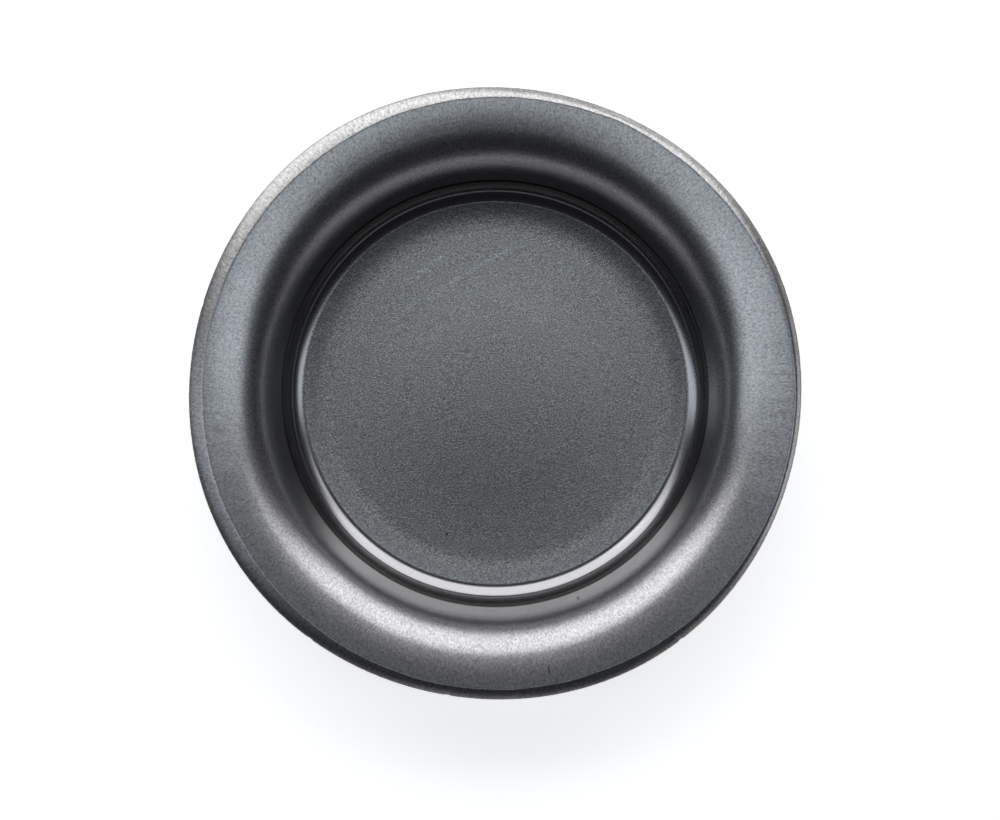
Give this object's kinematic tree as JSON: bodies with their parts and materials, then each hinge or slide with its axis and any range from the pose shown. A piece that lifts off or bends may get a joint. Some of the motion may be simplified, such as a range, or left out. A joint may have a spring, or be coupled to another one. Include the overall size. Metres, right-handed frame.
{
  "type": "flared metal dish",
  "caption": "Round drawn-steel dish with a flat closed floor, a short steep wall and a wide bell-mouth rim that ends in a turned-down lip; holds small loose things.",
  "frame": {"origin": "centre of the flat underside, where the dish stands", "axes": "+Z along the dish's axis, up out of its mouth; +X and +Y in the plane of the underside"},
  "size_m": [0.114, 0.1139, 0.0198],
  "materials": {
    "drawn_steel": "matte sheet skin, burnished at the corner and wall"
  },
  "bodies": {
    "root": {"dish": "drawn_steel"}
  },
  "joints": []
}
